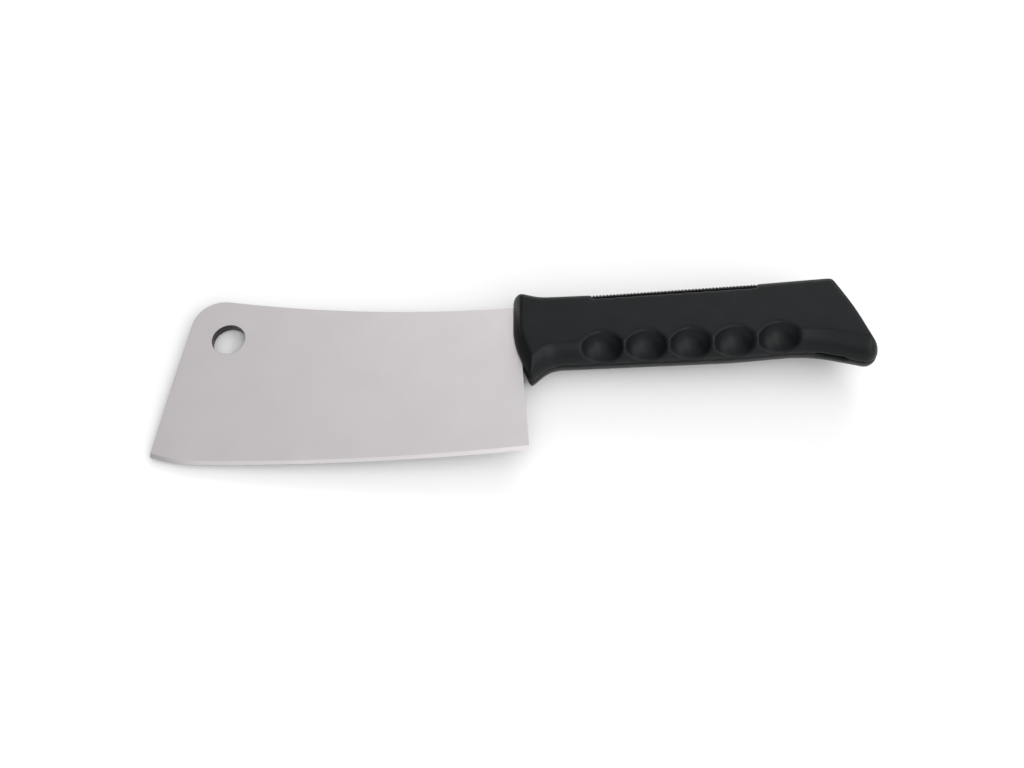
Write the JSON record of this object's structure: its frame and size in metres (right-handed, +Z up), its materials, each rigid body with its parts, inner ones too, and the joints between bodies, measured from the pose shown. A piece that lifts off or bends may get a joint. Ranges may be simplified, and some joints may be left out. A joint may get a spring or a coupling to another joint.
{
  "type": "meat cleaver",
  "caption": "Meat cleaver with a deep curved blade, a hanging hole in its nose, and a moulded two-shell handle with finger scoops and a ribbed thumb strip.",
  "frame": {"origin": "on the table, under the centre of the bounding box", "axes": "+X from the blade's toe to the handle's pommel, +Y from the cutting edge to the spine, +Z up from the table the cleaver lies on"},
  "size_m": [0.3062, 0.0812, 0.0301],
  "materials": {
    "blade_steel": "finely ground satin stainless steel",
    "handle_plastic": "fine-textured moulded polypropylene",
    "pin_steel": "turned stainless steel",
    "strip_rubber": "ribbed thermoplastic rubber"
  },
  "bodies": {
    "root": {"blade": "blade_steel", "handle_shell_upper": "handle_plastic", "handle_shell_lower": "handle_plastic", "tang_pins": "pin_steel", "thumb_strip": "strip_rubber"}
  },
  "joints": []
}
